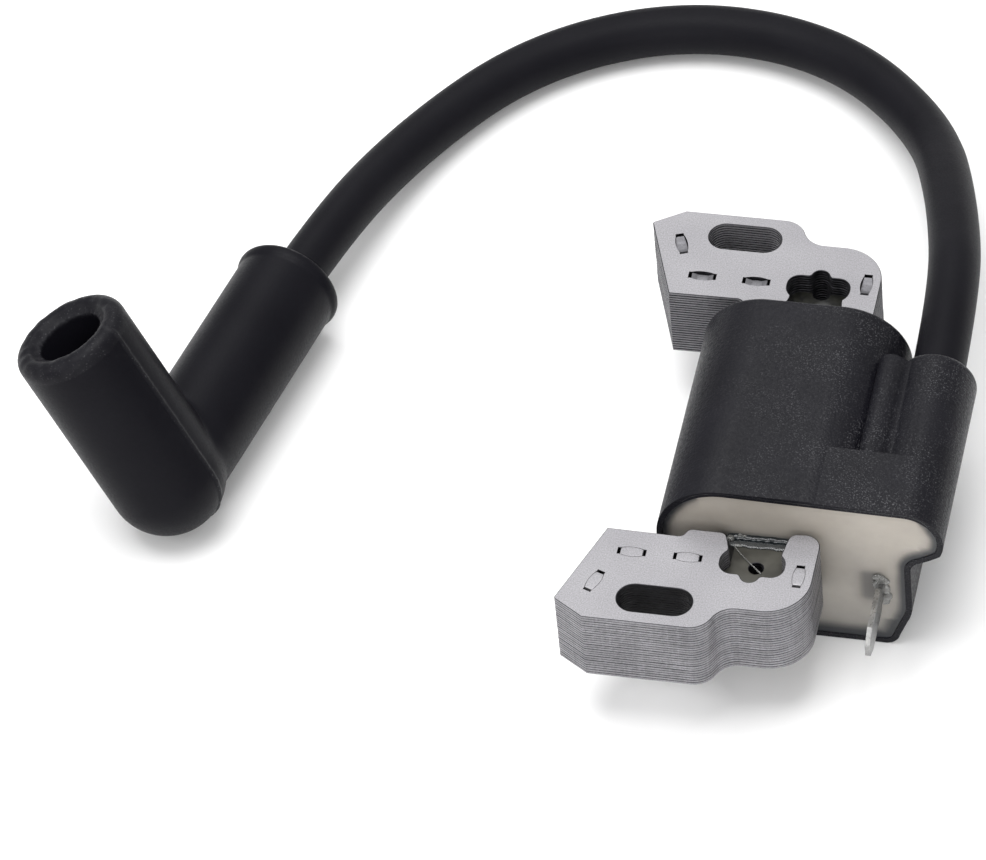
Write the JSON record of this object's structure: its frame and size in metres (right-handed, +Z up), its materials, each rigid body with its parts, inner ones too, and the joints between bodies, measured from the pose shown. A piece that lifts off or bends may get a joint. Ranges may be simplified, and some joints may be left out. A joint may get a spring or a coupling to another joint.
{
  "type": "ignition coil",
  "caption": "Small petrol engine ignition coil: laminated steel core with two slotted legs, black potted case, kill terminal blade, spark plug lead and elbow boot.",
  "frame": {"origin": "centre of the coil's box at the surface that it stands on, measured without the lead and boot", "axes": "+Z up, from the case's flat bottom; +Y from the open potted face to the end where the lead comes out; -X towards the flywheel"},
  "size_m": [0.1388, 0.1426, 0.0389],
  "materials": {
    "case_plastic": "fine spark-eroded satin, glass-filled",
    "epoxy": "cast, satin, cream",
    "core_steel": "tumbled, laminated",
    "bobbin_plastic": "moulded, natural",
    "copper_wire": "enamelled copper",
    "tape": "polyester tape",
    "board": "circuit board",
    "component": "moulded component",
    "tinned_steel": "tinned, bright",
    "brass_pin": "turned",
    "rubber": "matt black"
  },
  "bodies": {
    "coil": {"case": "case_plastic", "potting": "epoxy", "front_leg": "core_steel", "rear_leg": "core_steel", "core_bar": "core_steel", "primary_bobbin": "bobbin_plastic", "primary_winding": "copper_wire", "primary_tape": "tape", "secondary_bobbin": "bobbin_plastic", "secondary_winding": "copper_wire", "module_board": "board", "power_transistor": "component", "control_transistor": "component", "bias_resistors": "component", "kill_terminal": "tinned_steel", "high_tension_terminal": "brass_pin", "primary_start_wire": "copper_wire", "primary_end_wire": "copper_wire", "secondary_return_wire": "copper_wire", "secondary_lead_wire": "copper_wire", "ground_wire": "copper_wire", "lead_insulation": "rubber", "lead_conductor": "copper_wire"},
    "boot": {"boot": "rubber", "plug_clip": "tinned_steel", "boot_spike": "tinned_steel"}
  },
  "joints": [
    {"name": "boot_swivel", "type": "hinge", "parent": "coil", "child": "boot", "pos_m": [-0.0922, -0.0104, 0.009], "axis": [0.2233, 0.9748, 0], "range_deg": [-60, 60]}
  ]
}
